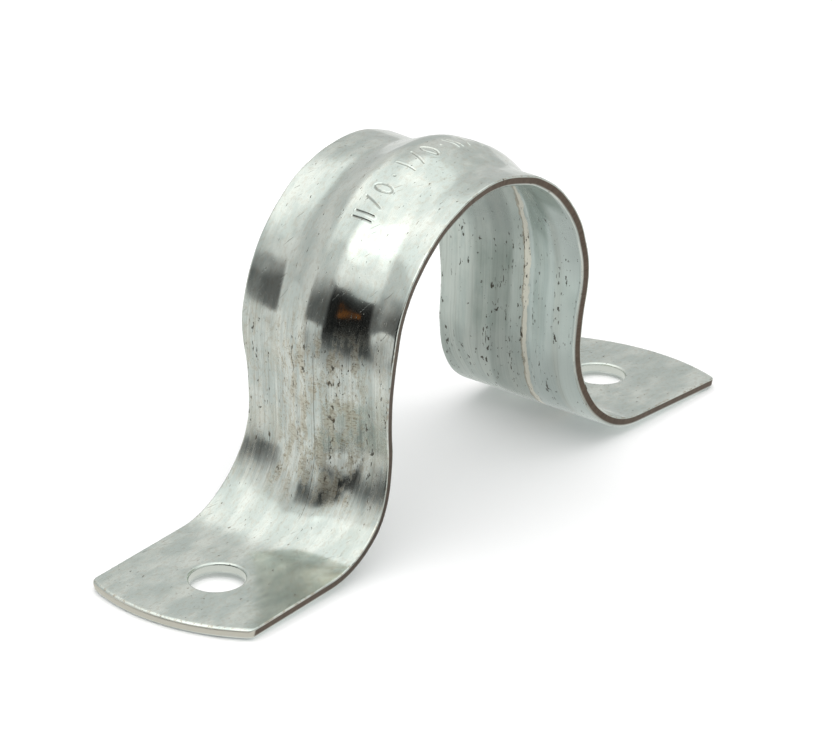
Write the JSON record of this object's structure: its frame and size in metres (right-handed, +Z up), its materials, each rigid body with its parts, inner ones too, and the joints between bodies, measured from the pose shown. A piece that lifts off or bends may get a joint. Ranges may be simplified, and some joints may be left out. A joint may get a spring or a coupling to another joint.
{
  "type": "conduit strap",
  "caption": "Pressed steel conduit strap: a ribbed arch over the conduit, legs that pinch in below it, and on each side a flat foot with a screw hole and a rounded end.",
  "frame": {"origin": "middle of the strap, on the surface that the tips of the feet touch", "axes": "+X along the strip from foot to foot, +Y along the conduit, +Z up from the mounting surface to the top of the arch"},
  "size_m": [0.08, 0.019, 0.0371],
  "materials": {
    "zinc_steel": "bright galvanised steel strip with drawing streaks and darker sheared edges"
  },
  "bodies": {
    "root": {"strap": "zinc_steel"}
  },
  "joints": []
}
